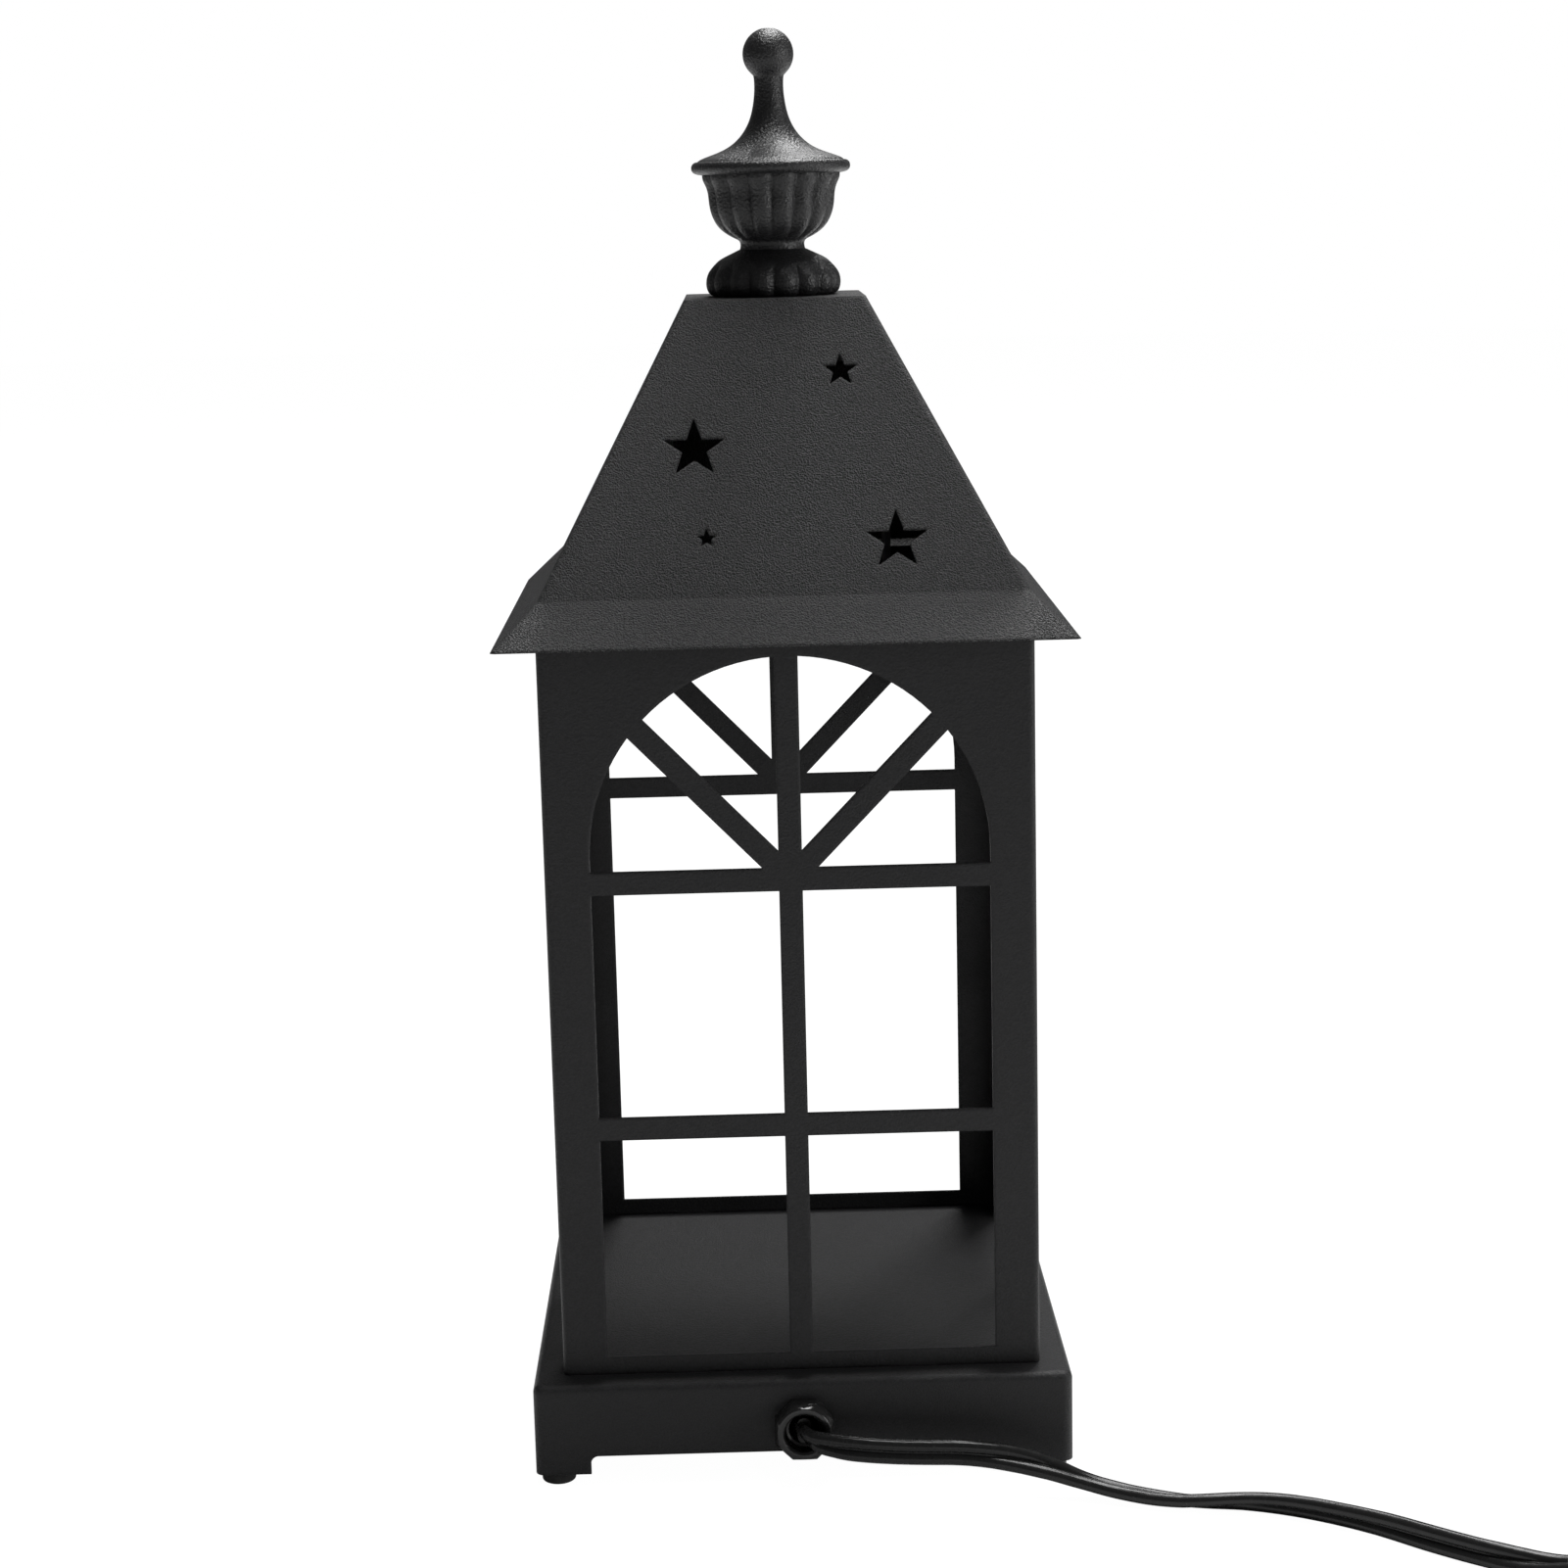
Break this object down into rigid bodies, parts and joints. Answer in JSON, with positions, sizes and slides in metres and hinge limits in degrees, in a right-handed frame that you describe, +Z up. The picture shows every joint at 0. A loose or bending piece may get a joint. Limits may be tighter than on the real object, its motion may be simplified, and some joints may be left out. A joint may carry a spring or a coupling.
{
  "type": "lantern candle warmer lamp",
  "caption": "Black sheet-metal lantern with arched muntin windows, star-pierced roof and fluted finial over a hidden spot bulb, with flat cord, wheel dimmer and plug.",
  "frame": {"origin": "on the floor at the middle of the square base", "axes": "+Z up along the finial, -Y out of the rear wall where the cord leaves, +Y out of the open front"},
  "size_m": [0.3967, 0.2288, 0.371],
  "materials": {
    "black_sheet": "satin black powder coat with a fine grain",
    "black_casting": "satin black paint on turned and fluted castings",
    "zinc_steel": "zinc-plated steel",
    "foot_rubber": "matt black rubber",
    "grommet_rubber": "matt black rubber",
    "white_ceramic": "unglazed white steatite ceramic",
    "contact_brass": "brass contacts",
    "bulb_glass": "clear pressed glass with a bright reflector coat",
    "pin_nickel": "bright nickel plate",
    "black_plastic": "glossy black moulding",
    "cord_black": "glossy black flexible PVC",
    "grey_plastic": "matt dark grey plastic",
    "sleeve_white": "woven glass-fibre sleeve",
    "board_green": "green circuit board"
  },
  "bodies": {
    "lantern": {"base_plinth": "black_sheet", "base_cover": "black_sheet", "cover_standoffs": "zinc_steel", "cover_screws": "zinc_steel", "rubber_foot_rear_left": "foot_rubber", "rubber_foot_rear_right": "foot_rubber", "rubber_foot_front_left": "foot_rubber", "rubber_foot_front_right": "foot_rubber", "rear_panel": "black_sheet", "front_panel": "black_sheet", "left_panel": "black_sheet", "right_panel": "black_sheet", "ceiling_plate": "black_sheet", "body_rivets": "black_sheet", "lead_duct": "black_sheet", "base_grommet": "grommet_rubber", "ceiling_grommet": "grommet_rubber", "roof_shell": "black_sheet", "finial_foot": "black_casting", "finial_urn": "black_casting", "finial_cap": "black_casting", "finial_stud": "zinc_steel", "stud_nuts": "zinc_steel", "roof_washer": "zinc_steel", "lamp_bracket": "zinc_steel", "bracket_screws": "zinc_steel", "bracket_nuts": "zinc_steel", "holder_body": "white_ceramic", "holder_cap": "white_ceramic", "holder_contacts": "contact_brass", "holder_screws": "zinc_steel", "cord_gland": "black_plastic", "gland_locknut": "black_plastic", "cord_tail": "cord_black", "crimp_connectors": "grey_plastic", "lamp_lead": "sleeve_white", "cord_lamp_side": "cord_black", "cord_plug_side": "cord_black", "cord_coil": "cord_black", "cord_plug_tail": "cord_black", "dimmer_base": "black_plastic", "dimmer_cover": "black_plastic", "dimmer_screws": "zinc_steel", "dimmer_board": "board_green", "dimmer_triac": "grey_plastic", "dimmer_capacitor": "grey_plastic", "plug_body": "black_plastic", "plug_blades": "pin_nickel"},
    "bulb": {"bulb_reflector": "bulb_glass", "bulb_front_glass": "bulb_glass", "bulb_base": "white_ceramic", "bulb_capsule": "bulb_glass", "bulb_pins": "pin_nickel"},
    "dimmer_wheel": {"dimmer_wheel": "grey_plastic", "dimmer_axle": "pin_nickel"}
  },
  "joints": [
    {"name": "bulb_twist", "type": "hinge", "parent": "lantern", "child": "bulb", "pos_m": [0, 0, 0.262], "axis": [0, 0, 1], "range_deg": [-25, 0]},
    {"name": "dimmer_turn", "type": "hinge", "parent": "lantern", "child": "dimmer_wheel", "pos_m": [0.228, -0.143, 0.0108], "axis": [0, 1, 0], "range_deg": [0, 270]}
  ]
}
